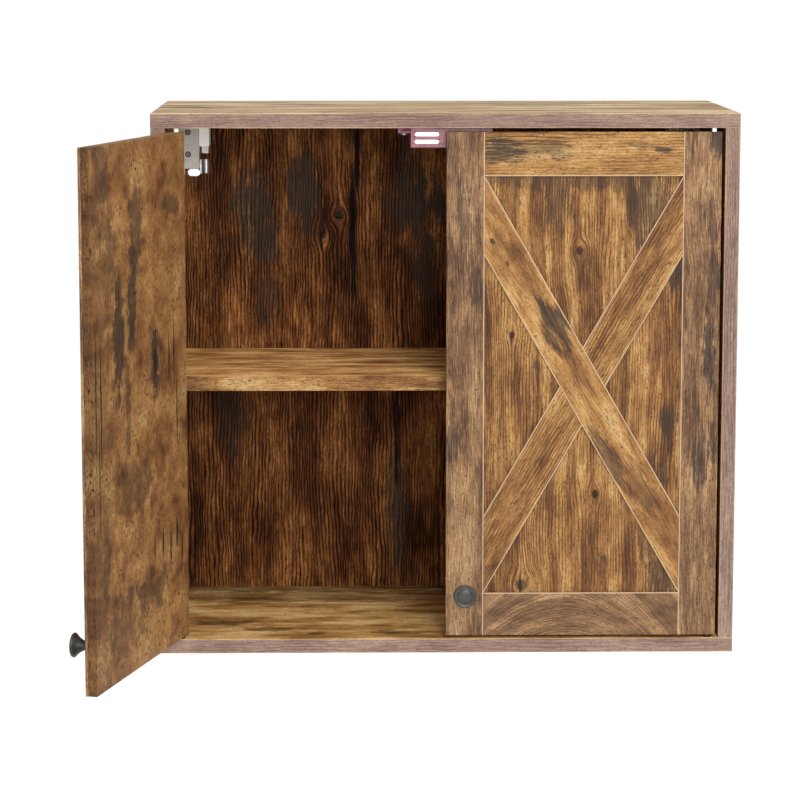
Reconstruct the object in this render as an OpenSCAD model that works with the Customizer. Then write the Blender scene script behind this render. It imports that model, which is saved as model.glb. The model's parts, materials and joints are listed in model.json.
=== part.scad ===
// Hanging wall cabinet with two framed, cross-braced doors on pin pivots.
// +X is right, the doors face -Y and +Z is up. The wall is the plane y = 0.
// The origin is the centre of the four holes that take the wall screws.

/* [Carcass] */
// Overall width
cabinet_w = 600; // [560:5:700]
// Overall height
cabinet_h = 560; // [520:5:640]
// Depth from the door fronts to the wall
cabinet_d = 285; // [260:5:340]
// Thickness of the carcass boards
board_t = 15; // [15:0.5:18]
// Thickness of the back panel
back_t = 3; // [3:0.5:5]
// Clear depth behind the back panel, for the wall plates
recess_d = 15; // [14:1:20]
// Depth of the groove round the back panel
groove_d = 5; // [4:0.5:6]

/* [Shelf] */
// Height of the shelf's upper face above the underside of the cabinet
shelf_top_h = 286; // [250:1:320]
// Setback of the shelf's front edge from the front of the cabinet
shelf_setback = 34; // [30:1:60]
// Gap between the shelf and each side panel
shelf_side_gap = 0.5; // [0.5:0.1:1]
// Spacing of the rows of shelf-pin holes
pin_row_pitch = 32; // [20:1:32]

/* [Doors] */
// Gap above each door
gap_top = 3.9; // [3:0.1:5]
// Gap below each door
gap_bottom = 3.4; // [3:0.1:5]
// Gap between each door and its side panel
gap_side = 3.4; // [3:0.1:4]
// Gap between the two closed doors
gap_middle = 2; // [2:0.1:4]
// Thickness of the door panel
panel_t = 9; // [9:0.5:10]
// Thickness of the boards laid on the door panel
overlay_t = 3; // [3:0.5:4]
// Width of the stiles
stile_w = 39; // [36:1:50]
// Width of the rails
rail_w = 45; // [40:1:60]
// Height of a cross brace where it meets a stile
brace_foot = 81.5; // [60:0.5:90]
// Angle at which the left door stands open
left_door_open = 105; // [0:1:112]

/* [Pivots] */
// Distance of the pivot axis from the inner face of the side panel
pivot_from_side = 11; // [11:0.5:12]
// Distance of the pivot axis behind the front of the doors
pivot_from_front = 6; // [6:0.1:6.5]
// Diameter of the pivot pins
pivot_pin_d = 5; // [4.5:0.1:5]
// Length of a pin in its socket
pivot_reach = 8; // [6:0.5:9]

/* [Knobs] */
// Diameter of the knob's rim
knob_d = 24; // [20:0.5:28]
// Height of the knob above the door
knob_h = 20; // [13:0.5:22]
// Distance of the knob's axis from the leading edge of the door
knob_inset = 19.5; // [18:0.5:20]
// Height of the knob's axis above the bottom edge of the door
knob_rise = 45; // [40:1:80]

/* [Catch] */
// Width of the catch body
catch_w = 71; // [70:1:80]
// Height of the catch body
catch_h = 20.7; // [20:0.1:24]
// Depth of the catch body
catch_d = 22; // [22:1:28]
// Clearance between the closed doors and the catch
catch_gap = 0.5; // [0.4:0.1:1]

/* [Hangers] */
// Width of the hanger's steel casing
casing_w = 22.5; // [22:0.5:24]
// Height of the hanger's steel casing
casing_h = 56.6; // [56:0.1:58]
// Depth of the hanger's steel casing
casing_d = 38; // [36:1:44]
// Travel of the hook each way from the middle
hook_travel = 4; // [2:0.5:4]
// Distance between the two holes in a wall plate
plate_hole_gap = 18; // [16:1:18]
// Diameter of the holes in a wall plate
plate_hole_d = 5.5; // [5:0.1:6]
// Width of a wall plate
plate_w = 50; // [44:1:52]

/* [Hidden] */

$fn = 48;

// Radial clearance of a pin, screw or dowel in its hole
fit = 0.05;
// Amount by which a cutting shape runs past the face that it opens
past = 1;

// Driving levels and planes. The ceiling is the underside of the top panel.
inner_x = cabinet_w / 2 - board_t;
front_y = -cabinet_d;
back_y = -recess_d - back_t;
plate_foot = 57;
plate_lower_hole = 8;
ceiling_z = plate_foot - plate_lower_hole - plate_hole_gap / 2;
roof_z = ceiling_z + board_t;
base_z = roof_z - cabinet_h;
floor_z = base_z + board_t;
middle_z = (base_z + roof_z) / 2;

// Door sizes and places
door_t = panel_t + overlay_t;
door_w = inner_x - gap_side - gap_middle / 2;
door_h = ceiling_z - floor_z - gap_top - gap_bottom;
door_base_z = floor_z + gap_bottom;
pivot_x = inner_x - pivot_from_side;
pivot_y = front_y + pivot_from_front;
pin_r = pivot_pin_d / 2;
pin_in_door = 25;
socket_r = 4;
socket_depth = 10;
field_h = door_h - 2 * rail_w;
field_w = door_w - 2 * stile_w;

// Stud that holds the knob
stud_r = 2;
stud_in_panel = 7;
stud_in_knob = 8;

// Corner fittings: the cam's distance from the board's end, and where the fittings stand in depth
cam_r = 7.5;
cam_depth = 12.5;
cam_from_end = 34;
cam_places = [front_y + 55, -60];
bolt_in_board = 11;
bolt_r = 2.5;
bolt_head_r = 3;
bolt_bore_r = 4;
dowel_r = 4;
dowel_in_board = 10.5;
dowel_in_side = 19.5;
dowel_places = [front_y + 90, -95];
fitting_x = cabinet_w / 2 - board_t / 2;

// Shelf pins
shelf_t = board_t;
shelf_z = base_z + shelf_top_h;
shelf_pin_r = 2.5;
shelf_pin_head_r = 3.5;
shelf_pin_head = 8;
shelf_pin_depth = 10;
shelf_pin_z = shelf_z - shelf_t - shelf_pin_head_r;
shelf_pin_places = [front_y + shelf_setback + 37, back_y - 37];
shelf_pin_rows = [-1, 0, 1];

// Catch: its magnets' steel poles, two to a door
catch_y = front_y + door_t + catch_gap;
ear_w = 13;
ear_t = 6;
ear_inset = 2;
ear_slot_r = 2.1;
ear_slot_len = 9;
pole_from = 6.5;
pole_to = 31.3;
pole_t = 4;
pole_levels = [4.9, 12.5];
pole_depth = 18;
pole_proud = 0.3;
magnet_inset = 1.5;
magnet_drop = pole_levels[0] + pole_t;
magnet_t = pole_levels[1] - magnet_drop;
catch_screw_x = catch_w / 2 + 6.5;
catch_screw_y = catch_y + 11;

// Strike plate, let into the door panel behind the leading stile
strike_w = 28;
strike_h = 10;
strike_t = 1.5;
strike_below_top = 2;

// Hangers, from the side panel's inner face and from the ceiling
sheet_t = 1.5;
tab_w = 6.9;
tab_h = 62.6;
screw_from_side = 10.4;
height_screw_drop = 16.7;
depth_screw_drop = 40.6;
screw_head_r = 3.15;
screw_shank_r = 2;
screw_len = 28;
guide_w = 11;
guide_h = 32.2;
guide_d = 36;
hook_w = 7.9;
hook_gap = 0.1;
hook_from_side = casing_w + 1.5;
hook_top_drop = 6;
hook_foot_drop = 41;
hook_body_d = 14;
hook_rear_gap = 2;
arm_drop = 12;
arm_h = 5;
lip_t = 2.5;
lip_h = 9;
lip_from_wall = 3.2;
barrel_r = 4.6;
barrel_from_casing = 6.1;
barrel_top_drop = 47.3;
barrel_foot_drop = 62.6;
bracket_t = 1.9;
bracket_d = 24;
fixing_drops = [8, 50];
fixing_r = 1.75;
fixing_head_r = 3.5;
fixing_head_t = 2;
fixing_len = 13;

// Opening in the back panel for each hook, and the slot below it for a safety screw
window_drop = 4;
window_h = 28;
slot_from_side = 14.7;
slot_drop = 63.2;
slot_r = 4;
slot_len = 13.6;

// Wall plate: a foot on the wall and a raised lip that the hook hangs on
plate_t = 2;
plate_x = inner_x - hook_from_side - hook_w / 2;
plate_lip_y = -8;
plate_top_drop = arm_drop + arm_h;
plate_step_drop = 27;

wood = [0.55, 0.36, 0.2];
wood_dark = [0.4, 0.26, 0.15];
wood_back = [0.25, 0.15, 0.1];
steel = [0.62, 0.6, 0.57];
black = [0.12, 0.12, 0.12];
nylon = [0.92, 0.92, 0.9];
bronze = [0.25, 0.25, 0.23];
maroon = [0.45, 0.25, 0.28];

// A box between two corners
module block(low, high) translate(low) cube(high - low);

// A cylinder along +X, +Y or +Z
module rod_x(r, l) rotate([0, 90, 0]) cylinder(r = r, h = l);
module rod_y(r, l) rotate([-90, 0, 0]) cylinder(r = r, h = l);
module rod_z(r, l) cylinder(r = r, h = l);

// What is drawn on the right, drawn on the left instead
module on_left() mirror([1, 0, 0]) children();

module on_both_sides() {
    children();
    on_left() children();
}

// What is drawn at the top, drawn at the bottom instead
module at_bottom() translate([0, 0, 2 * middle_z]) mirror([0, 0, 1]) children();

module at_each_corner() {
    on_both_sides() children();
    at_bottom() on_both_sides() children();
}

// A slot with round ends, cut along +Y, with its length along X
module slot_y(r, len, l) {
    for (side = [-1, 1]) translate([side * (len / 2 - r), 0, 0]) rod_y(r, l);
    translate([-(len / 2 - r), 0, -r]) cube([len - 2 * r, l, 2 * r]);
}

// A slot with round ends, cut along +Z, with its length along X
module slot_z(r, len, l) {
    for (side = [-1, 1]) translate([side * (len / 2 - r), 0, -past]) rod_z(r, l + 2 * past);
    translate([-(len / 2 - r), -r, -past]) cube([len - 2 * r, 2 * r, l + 2 * past]);
}

// A cross recess for a screwdriver, sunk along +Z from the origin
module cross_recess(size, depth) {
    for (turn = [0, 90]) rotate([0, 0, turn])
        translate([-size / 2, -size / 10, -past]) cube([size, size / 5, depth + past]);
}

// ---- Carcass ----

module back_groove() {
    block([-inner_x - groove_d, back_y, ceiling_z - past],
        [inner_x + groove_d, -recess_d, ceiling_z + groove_d]);
}

// Holes in the top panel; the bottom panel has the same ones, upside down
module end_panel_holes() {
    on_both_sides() {
        for (y = cam_places) translate([fitting_x, y, ceiling_z - past])
            rod_z(bolt_r, bolt_in_board + past + fit);
        for (y = dowel_places) translate([fitting_x, y, ceiling_z - past])
            rod_z(dowel_r + fit, dowel_in_board + past + fit);
        translate([pivot_x, pivot_y, ceiling_z - past]) rod_z(socket_r, socket_depth + past);
    }
}

module end_panel() {
    difference() {
        block([-cabinet_w / 2, front_y, ceiling_z], [cabinet_w / 2, 0, roof_z]);
        back_groove();
        end_panel_holes();
    }
}

module top_panel() {
    color(wood) difference() {
        end_panel();
        on_both_sides() translate([catch_screw_x, catch_screw_y, ceiling_z - past])
            rod_z(fixing_r, fixing_len + past - ear_t);
    }
}

module bottom_panel() color(wood) at_bottom() end_panel();

// Cam seats, bolt bores and dowel bores at the upper end of a side panel
module side_end_bores() {
    for (y = cam_places) {
        translate([inner_x - past, y, ceiling_z - cam_from_end]) rod_x(cam_r, cam_depth + past);
        translate([fitting_x, y, ceiling_z - cam_from_end]) rod_z(bolt_bore_r, cam_from_end + past);
    }
    for (y = dowel_places) translate([fitting_x, y, ceiling_z - dowel_in_side - fit])
        rod_z(dowel_r + fit, dowel_in_side + fit + past);
}

module side_panel() {
    difference() {
        block([inner_x, front_y, floor_z], [cabinet_w / 2, 0, ceiling_z]);
        block([inner_x - past, back_y, floor_z - past], [inner_x + groove_d, -recess_d, ceiling_z + past]);
        side_end_bores();
        at_bottom() side_end_bores();
        for (y = shelf_pin_places, row = shelf_pin_rows)
            translate([inner_x - past, y, shelf_pin_z + row * pin_row_pitch])
                rod_x(shelf_pin_r + fit, shelf_pin_depth + fit + past);
        for (drop = fixing_drops)
            translate([inner_x - past, back_y - casing_d / 2, ceiling_z - drop])
                rod_x(fixing_r, fixing_len - sheet_t + past);
    }
}

module side_panel_right() color(wood) side_panel();
module side_panel_left() color(wood) on_left() side_panel();

module back_panel() {
    color(wood_back) difference() {
        block([-inner_x - groove_d, back_y, floor_z - groove_d],
            [inner_x + groove_d, -recess_d, ceiling_z + groove_d]);
        on_both_sides() {
            block([inner_x - hook_from_side - hook_w - 1, back_y - past, ceiling_z - window_drop - window_h],
                [inner_x - hook_from_side + 1, -recess_d + past, ceiling_z - window_drop]);
            translate([inner_x - slot_from_side, back_y - past, ceiling_z - slot_drop])
                slot_y(slot_r, slot_len, back_t + 2 * past);
        }
    }
}

module shelf() {
    color(wood) block([-inner_x + shelf_side_gap, front_y + shelf_setback, shelf_z - shelf_t],
        [inner_x - shelf_side_gap, back_y - past, shelf_z]);
}

// A stub in the side panel and a thicker head under the shelf
module shelf_pins() {
    color(steel) on_both_sides() for (y = shelf_pin_places) translate([inner_x, y, shelf_pin_z]) {
        rod_x(shelf_pin_r, shelf_pin_depth);
        translate([-shelf_pin_head, 0, 0]) rod_x(shelf_pin_head_r - fit, shelf_pin_head);
    }
}

// Drum with a screwdriver cross in its face and a pocket round the bolt's head
module cam_lock() {
    difference() {
        rod_x(cam_r - fit, cam_depth - fit);
        translate([board_t / 2, 0, 0]) rod_z(bolt_head_r + 0.5, cam_r + past);
        rotate([0, 90, 0]) cross_recess(8, 2);
    }
}

module cam_locks() {
    color(steel) at_each_corner() for (y = cam_places)
        translate([inner_x, y, ceiling_z - cam_from_end]) cam_lock();
}

// Threaded stem in the end panel, thin shank, and the head that the cam pulls on
module cam_bolts() {
    color(steel) at_each_corner() for (y = cam_places) translate([fitting_x, y, ceiling_z]) {
        rod_z(bolt_r - fit, bolt_in_board);
        translate([0, 0, -cam_from_end + 3]) rod_z(bolt_r - 0.5, cam_from_end - 3);
        translate([0, 0, -cam_from_end + 0.5]) rod_z(bolt_head_r, 3);
    }
}

module dowels() {
    color(wood) at_each_corner() for (y = dowel_places)
        translate([fitting_x, y, ceiling_z - dowel_in_side]) rod_z(dowel_r, dowel_in_side + dowel_in_board);
}

// ---- Magnetic catch ----

// Where one pole or magnet lies: from its upper face's depth below the ceiling
module catch_insert(drop, height, from_front, depth, slack) {
    block([pole_from - slack, catch_y + from_front, ceiling_z - drop - height - slack],
        [pole_to + slack, catch_y + from_front + depth, ceiling_z - drop + slack]);
}

module catch_ear() {
    difference() {
        block([catch_w / 2 - past, catch_y + ear_inset, ceiling_z - ear_t],
            [catch_w / 2 + ear_w, catch_y + catch_d - ear_inset, ceiling_z]);
        translate([catch_screw_x, catch_screw_y, ceiling_z - ear_t]) rotate([0, 0, 90])
            slot_z(ear_slot_r, ear_slot_len, ear_t);
    }
}

module catch_housing() {
    color(maroon) {
        difference() {
            union() {
                block([-catch_w / 2, catch_y, ceiling_z - catch_h],
                    [catch_w / 2, catch_y + catch_d, ceiling_z]);
                on_both_sides() catch_ear();
            }
            on_both_sides() {
                for (level = pole_levels) translate([0, -past, 0])
                    catch_insert(level, pole_t, 0, pole_depth + past, fit);
                catch_insert(magnet_drop, magnet_t, magnet_inset, pole_depth - magnet_inset, fit);
            }
        }
    }
}

module catch_poles() {
    color(nylon) on_both_sides() for (level = pole_levels)
        catch_insert(level, pole_t, -pole_proud, pole_depth + pole_proud, 0);
}

module catch_magnets() {
    color(black) on_both_sides()
        catch_insert(magnet_drop, magnet_t, magnet_inset + fit, pole_depth - magnet_inset - fit, 0);
}

module catch_screws() {
    color(steel) on_both_sides() translate([catch_screw_x, catch_screw_y, ceiling_z - ear_t]) {
        rod_z(fixing_r - fit, fixing_len);
        translate([0, 0, -fixing_head_t]) difference() {
            rod_z(fixing_head_r, fixing_head_t);
            cross_recess(4, 1);
        }
    }
}

// ---- Pivots ----

module pivot_socket() {
    translate([pivot_x, pivot_y, ceiling_z]) difference() {
        rod_z(socket_r, socket_depth);
        translate([0, 0, -past]) rod_z(pin_r + fit, pivot_reach + 0.5 + past);
    }
}

module pivot_sockets_top() color(black) on_both_sides() pivot_socket();
module pivot_sockets_bottom() color(black) at_bottom() on_both_sides() pivot_socket();

// ---- Hangers, drawn in the upper right corner ----

// The corner where the side panel, the ceiling and the back panel meet; -X is into the cabinet
module in_hanger_corner() translate([inner_x, back_y, ceiling_z]) children();

// Pressed casing: open at the back, with a long tab at its front edge by the side panel
module hanger_casing() {
    in_hanger_corner() difference() {
        union() {
            block([-casing_w, -casing_d, -casing_h], [0, 0, 0]);
            block([-tab_w, -casing_d, -tab_h], [0, -casing_d + sheet_t, 0]);
        }
        block([-casing_w + sheet_t, -casing_d + sheet_t, -casing_h + sheet_t], [-sheet_t, past, -sheet_t]);
        for (drop = [height_screw_drop, depth_screw_drop])
            translate([-screw_from_side, -casing_d - past, -drop])
                rod_y(screw_head_r + fit, sheet_t + 2 * past);
        for (drop = fixing_drops)
            translate([-sheet_t - past, -casing_d / 2, -drop]) rod_x(fixing_r, sheet_t + 2 * past);
    }
}

// Nylon block with a channel, open to the back, that the hook slides in
module hanger_guide() {
    in_hanger_corner() difference() {
        block([-casing_w - guide_w, -guide_d, -guide_h], [-casing_w, 0, 0]);
        block([-hook_from_side - hook_w - hook_gap, -hook_rear_gap - hook_body_d - hook_gap, -guide_h - past],
            [-hook_from_side + hook_gap, past, past]);
    }
}

// Barrel nut on a small bracket, which the depth screw clamps the hook with
module hanger_barrel() {
    in_hanger_corner() {
        translate([-casing_w - barrel_from_casing, -hook_body_d, -barrel_foot_drop])
            rod_z(barrel_r, barrel_foot_drop - barrel_top_drop);
        block([-casing_w - bracket_t, -bracket_d, -barrel_foot_drop], [-casing_w, 0, -barrel_top_drop]);
    }
}

// Sliding body, an arm through the back panel, and a lip that drops behind the wall plate
module hanger_hook() {
    low_x = inner_x - hook_from_side - hook_w;
    high_x = inner_x - hook_from_side;
    block([low_x, back_y - hook_rear_gap - hook_body_d, ceiling_z - hook_foot_drop],
        [high_x, back_y - hook_rear_gap, ceiling_z - hook_top_drop]);
    block([low_x, back_y - hook_rear_gap, ceiling_z - arm_drop - arm_h],
        [high_x, -lip_from_wall, ceiling_z - arm_drop]);
    block([low_x, -lip_from_wall - lip_t, ceiling_z - arm_drop - arm_h - lip_h],
        [high_x, -lip_from_wall, ceiling_z - arm_drop]);
}

// Screw whose head sits in the casing's front, with a cross recess in it
module casing_screw(drop) {
    in_hanger_corner() translate([-screw_from_side, -casing_d, -drop]) difference() {
        union() {
            rod_y(screw_head_r, sheet_t);
            rod_y(screw_shank_r, screw_len);
        }
        rotate([-90, 0, 0]) cross_recess(4.4, 1);
    }
}

// Foot against the wall, a step, and a raised lip; two holes in the foot
module wall_plate() {
    low_x = plate_x - plate_w / 2;
    high_x = plate_x + plate_w / 2;
    step_z = ceiling_z - plate_step_drop;
    difference() {
        union() {
            block([low_x, -plate_t, ceiling_z - plate_foot], [high_x, 0, step_z]);
            block([low_x, plate_lip_y, step_z - plate_t], [high_x, 0, step_z]);
            block([low_x, plate_lip_y, step_z - plate_t],
                [high_x, plate_lip_y + plate_t, ceiling_z - plate_top_drop]);
        }
        for (side = [-1, 1]) translate([plate_x, -plate_t - past, side * plate_hole_gap / 2])
            rod_y(plate_hole_d / 2, plate_t + 2 * past);
    }
}

module fixing_screw() {
    translate([-sheet_t - fixing_head_t, 0, 0]) difference() {
        union() {
            rod_x(fixing_head_r, fixing_head_t);
            rod_x(fixing_r - fit, fixing_head_t + fixing_len);
        }
        rotate([0, 90, 0]) cross_recess(4, 1);
    }
}

module hanger_fixing_screws() {
    color(steel) on_both_sides() for (drop = fixing_drops)
        in_hanger_corner() translate([0, -casing_d / 2, -drop]) fixing_screw();
}

module hanger_casing_right() color(steel) hanger_casing();
module hanger_casing_left() color(steel) on_left() hanger_casing();
module hanger_guide_right() color(nylon) hanger_guide();
module hanger_guide_left() color(nylon) on_left() hanger_guide();
module hanger_barrel_right() color(steel) hanger_barrel();
module hanger_barrel_left() color(steel) on_left() hanger_barrel();
module hanger_hook_right() color(steel) hanger_hook();
module hanger_hook_left() color(steel) on_left() hanger_hook();
module height_screw_right() color(black) casing_screw(height_screw_drop);
module height_screw_left() color(black) on_left() casing_screw(height_screw_drop);
module depth_screw_right() color(black) casing_screw(depth_screw_drop);
module depth_screw_left() color(black) on_left() casing_screw(depth_screw_drop);
module wall_plate_right() color(steel) wall_plate();
module wall_plate_left() color(steel) on_left() wall_plate();

// ---- Doors ----
// A door is drawn with its leading edge at x = 0, its front at y = 0 and its bottom at z = 0.

module as_right_door() translate([gap_middle / 2, front_y, door_base_z]) children();

module as_left_door() {
    translate([-pivot_x, pivot_y, 0]) rotate([0, 0, -left_door_open]) translate([pivot_x, -pivot_y, 0])
        on_left() as_right_door() children();
}

pivot_in_door = pivot_x - gap_middle / 2;

// Hole for the stud that the knob screws on to
module knob_bore(depth) {
    translate([knob_inset, -past, knob_rise]) rod_y(stud_r + fit, depth + past);
}

module door_panel() {
    difference() {
        block([0, overlay_t, 0], [door_w, door_t, door_h]);
        knob_bore(overlay_t + stud_in_panel + fit);
        block([knob_inset - strike_w / 2 - fit, overlay_t - past, door_h - strike_below_top - strike_h - fit],
            [knob_inset + strike_w / 2 + fit, overlay_t + strike_t + fit, door_h - strike_below_top + fit]);
        translate([pivot_in_door, pivot_from_front, -past]) rod_z(pin_r + fit, pin_in_door + past + fit);
        translate([pivot_in_door, pivot_from_front, door_h - pin_in_door - fit])
            rod_z(pin_r + fit, pin_in_door + past + fit);
    }
}

module lead_stile() {
    difference() {
        block([0, 0, 0], [stile_w, overlay_t, door_h]);
        knob_bore(overlay_t + past);
    }
}

module hinge_stile() block([door_w - stile_w, 0, 0], [door_w, overlay_t, door_h]);
module bottom_rail() block([stile_w, 0, 0], [door_w - stile_w, overlay_t, rail_w]);
module top_rail() translate([0, 0, door_h - rail_w]) bottom_rail();

// Vertical height of the long brace's lower edge at a distance from the leading stile
function long_brace_z(x) = rail_w + (field_h - brace_foot) * (1 - x / field_w);

// Outline of a brace that falls from the leading stile to the hinge stile
module falling_outline() {
    polygon([[0, long_brace_z(0)], [0, long_brace_z(0) + brace_foot],
        [field_w, rail_w + brace_foot], [field_w, rail_w]]);
}

module brace_slab() {
    translate([stile_w, overlay_t, 0]) rotate([90, 0, 0]) linear_extrude(overlay_t) children();
}

module long_brace() brace_slab() falling_outline();

// The rising brace, cut where the long brace crosses it
module rising_outline() {
    difference() {
        translate([field_w, 0]) mirror([1, 0]) falling_outline();
        falling_outline();
    }
}

module upper_brace() {
    brace_slab() intersection() {
        rising_outline();
        translate([field_w / 2, door_h / 2]) square([field_w / 2, door_h / 2]);
    }
}

module lower_brace() {
    brace_slab() intersection() {
        rising_outline();
        square([field_w / 2, door_h / 2]);
    }
}

// Outline of the turned knob: thin neck, trumpet flare, round rim, shallow dished face with a raised middle
knob_neck_r = 3.75;
knob_steps = 10;
function knob_flare(t) = [knob_neck_r + (knob_d / 2 - knob_neck_r) * pow(t, 2.4), (knob_h - 3) * t];
function knob_rim(a) = [knob_d / 2 - 1.2 + 1.2 * cos(a), knob_h - 2.2 + 1.2 * sin(a)];
knob_profile = concat(
    [[stud_r + fit, 0]],
    [for (i = [0:knob_steps]) knob_flare(i / knob_steps)],
    [for (a = [0:30:90]) knob_rim(a)],
    [[knob_d / 2 - 2.6, knob_h - 1.6], [knob_d / 3, knob_h - 1.5], [knob_d / 3 - 0.8, knob_h - 0.7],
        [knob_d / 6, knob_h - 0.1], [0, knob_h]],
    [[0, stud_in_knob + fit], [stud_r + fit, stud_in_knob + fit]]);

module knob() {
    translate([knob_inset, 0, knob_rise]) rotate([90, 0, 0]) rotate_extrude($fn = 64) polygon(knob_profile);
}

module knob_stud() {
    translate([knob_inset, -stud_in_knob, knob_rise]) rod_y(stud_r, stud_in_knob + overlay_t + stud_in_panel);
}

module strike_plate() {
    block([knob_inset - strike_w / 2, overlay_t, door_h - strike_below_top - strike_h],
        [knob_inset + strike_w / 2, overlay_t + strike_t, door_h - strike_below_top]);
}

module pivot_pin_top() {
    translate([pivot_in_door, pivot_from_front, door_h - pin_in_door])
        rod_z(pin_r, pin_in_door + gap_top + pivot_reach);
}

module pivot_pin_bottom() {
    translate([pivot_in_door, pivot_from_front, -gap_bottom - pivot_reach])
        rod_z(pin_r, pin_in_door + gap_bottom + pivot_reach);
}

module door_panel_right() color(wood) as_right_door() door_panel();
module door_panel_left() color(wood) as_left_door() door_panel();
module hinge_stile_right() color(wood_dark) as_right_door() hinge_stile();
module hinge_stile_left() color(wood_dark) as_left_door() hinge_stile();
module lead_stile_right() color(wood_dark) as_right_door() lead_stile();
module lead_stile_left() color(wood_dark) as_left_door() lead_stile();
module top_rail_right() color(wood_dark) as_right_door() top_rail();
module top_rail_left() color(wood_dark) as_left_door() top_rail();
module bottom_rail_right() color(wood_dark) as_right_door() bottom_rail();
module bottom_rail_left() color(wood_dark) as_left_door() bottom_rail();
module long_brace_right() color(wood_dark) as_right_door() long_brace();
module long_brace_left() color(wood_dark) as_left_door() long_brace();
module upper_brace_right() color(wood_dark) as_right_door() upper_brace();
module upper_brace_left() color(wood_dark) as_left_door() upper_brace();
module lower_brace_right() color(wood_dark) as_right_door() lower_brace();
module lower_brace_left() color(wood_dark) as_left_door() lower_brace();
module knob_right() color(bronze) as_right_door() knob();
module knob_left() color(bronze) as_left_door() knob();
module knob_stud_right() color(steel) as_right_door() knob_stud();
module knob_stud_left() color(steel) as_left_door() knob_stud();
module strike_plate_right() color(steel) as_right_door() strike_plate();
module strike_plate_left() color(steel) as_left_door() strike_plate();
module pivot_pin_top_right() color(nylon) as_right_door() pivot_pin_top();
module pivot_pin_top_left() color(nylon) as_left_door() pivot_pin_top();
module pivot_pin_bottom_right() color(black) as_right_door() pivot_pin_bottom();
module pivot_pin_bottom_left() color(black) as_left_door() pivot_pin_bottom();

top_panel();
bottom_panel();
side_panel_left();
side_panel_right();
back_panel();
shelf();
shelf_pins();
cam_locks();
cam_bolts();
dowels();
catch_housing();
catch_poles();
catch_magnets();
catch_screws();
pivot_sockets_top();
pivot_sockets_bottom();
hanger_casing_left();
hanger_guide_left();
hanger_barrel_left();
hanger_hook_left();
height_screw_left();
depth_screw_left();
wall_plate_left();
hanger_casing_right();
hanger_guide_right();
hanger_barrel_right();
hanger_hook_right();
height_screw_right();
depth_screw_right();
wall_plate_right();
hanger_fixing_screws();
door_panel_left();
hinge_stile_left();
lead_stile_left();
top_rail_left();
bottom_rail_left();
long_brace_left();
upper_brace_left();
lower_brace_left();
knob_left();
knob_stud_left();
strike_plate_left();
pivot_pin_top_left();
pivot_pin_bottom_left();
door_panel_right();
hinge_stile_right();
lead_stile_right();
top_rail_right();
bottom_rail_right();
long_brace_right();
upper_brace_right();
lower_brace_right();
knob_right();
knob_stud_right();
strike_plate_right();
pivot_pin_top_right();
pivot_pin_bottom_right();
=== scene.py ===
# %% [markdown]
# # A hanging wall cabinet with barn-style doors
# This lesson dresses a finished CAD assembly of a small wall cabinet: a carcass of printed
# particle board, two cross-braced doors on pin pivots, turned knobs, a magnetic catch and the
# steel hangers that hold it on a wall. The CAD model already says where everything is and how it
# moves, so it is loaded as a fixed frame and each board or fitting rides on the body it belongs to.

# %% Load the frame
import json
from math import cos, hypot, pi, radians, sin

import bmesh
import bpy
from mathutils import Matrix, Vector

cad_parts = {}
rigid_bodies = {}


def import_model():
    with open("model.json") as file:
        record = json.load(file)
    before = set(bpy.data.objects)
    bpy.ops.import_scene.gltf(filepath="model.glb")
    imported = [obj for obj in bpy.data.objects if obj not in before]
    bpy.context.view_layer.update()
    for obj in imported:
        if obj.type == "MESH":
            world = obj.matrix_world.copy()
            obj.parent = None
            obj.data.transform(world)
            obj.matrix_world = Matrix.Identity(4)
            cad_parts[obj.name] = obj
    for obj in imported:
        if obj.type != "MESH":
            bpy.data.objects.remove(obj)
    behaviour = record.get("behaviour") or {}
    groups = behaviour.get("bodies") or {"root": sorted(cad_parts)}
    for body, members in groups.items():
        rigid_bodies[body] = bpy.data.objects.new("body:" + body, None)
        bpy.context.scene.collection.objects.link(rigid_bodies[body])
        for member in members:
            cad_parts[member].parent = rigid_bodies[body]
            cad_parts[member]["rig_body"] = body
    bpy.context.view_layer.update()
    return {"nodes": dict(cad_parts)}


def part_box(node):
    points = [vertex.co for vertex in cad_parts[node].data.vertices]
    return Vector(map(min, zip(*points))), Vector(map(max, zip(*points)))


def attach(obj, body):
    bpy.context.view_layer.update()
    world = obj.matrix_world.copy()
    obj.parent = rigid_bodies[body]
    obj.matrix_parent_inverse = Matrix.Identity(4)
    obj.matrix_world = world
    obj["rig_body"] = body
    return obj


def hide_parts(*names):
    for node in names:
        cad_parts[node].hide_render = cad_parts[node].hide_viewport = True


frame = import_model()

MM = 0.001

# %% [markdown]
# ## Where the boards lie
# Every timber finish follows its own board, so each board gets a small frame of its own: a centre,
# the direction of its grain and the direction across it. The left door is drawn open. It is the
# mirror image of the closed right door, turned about its pivot, so the same turn is written down
# once and used for every finish on that door.

# %% Places of the boards
PIVOT = Vector((-0.274, -0.279, 0))
OPEN_ANGLE = radians(-105)
OPENED = Matrix.Translation(PIVOT) @ Matrix.Rotation(OPEN_ANGLE, 4, "Z") @ Matrix.Translation(-PIVOT)
RIGHT, BACK, UP = Vector((1, 0, 0)), Vector((0, 1, 0)), Vector((0, 0, 1))


def middle(node):
    """Centre of a CAD node's box at rest."""
    low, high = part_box(node)
    return (low + high) / 2


def mirrored(vector):
    """A point or direction of the right door, on the left door when that is closed."""
    return Vector((-vector.x, vector.y, vector.z))


def board_frame(centre, along, across, opened=False):
    """Place of a board: columns are along the grain, across it and out of its face."""
    along, across = along.normalized(), across.normalized()
    turn = Matrix((along, across, along.cross(across))).transposed().to_4x4()
    place = Matrix.Translation(centre) @ turn
    return OPENED @ place if opened else place


door_low, door_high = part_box("door_panel_right")
print("right door:", [round(x, 4) for x in (*door_low, *door_high)])

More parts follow.
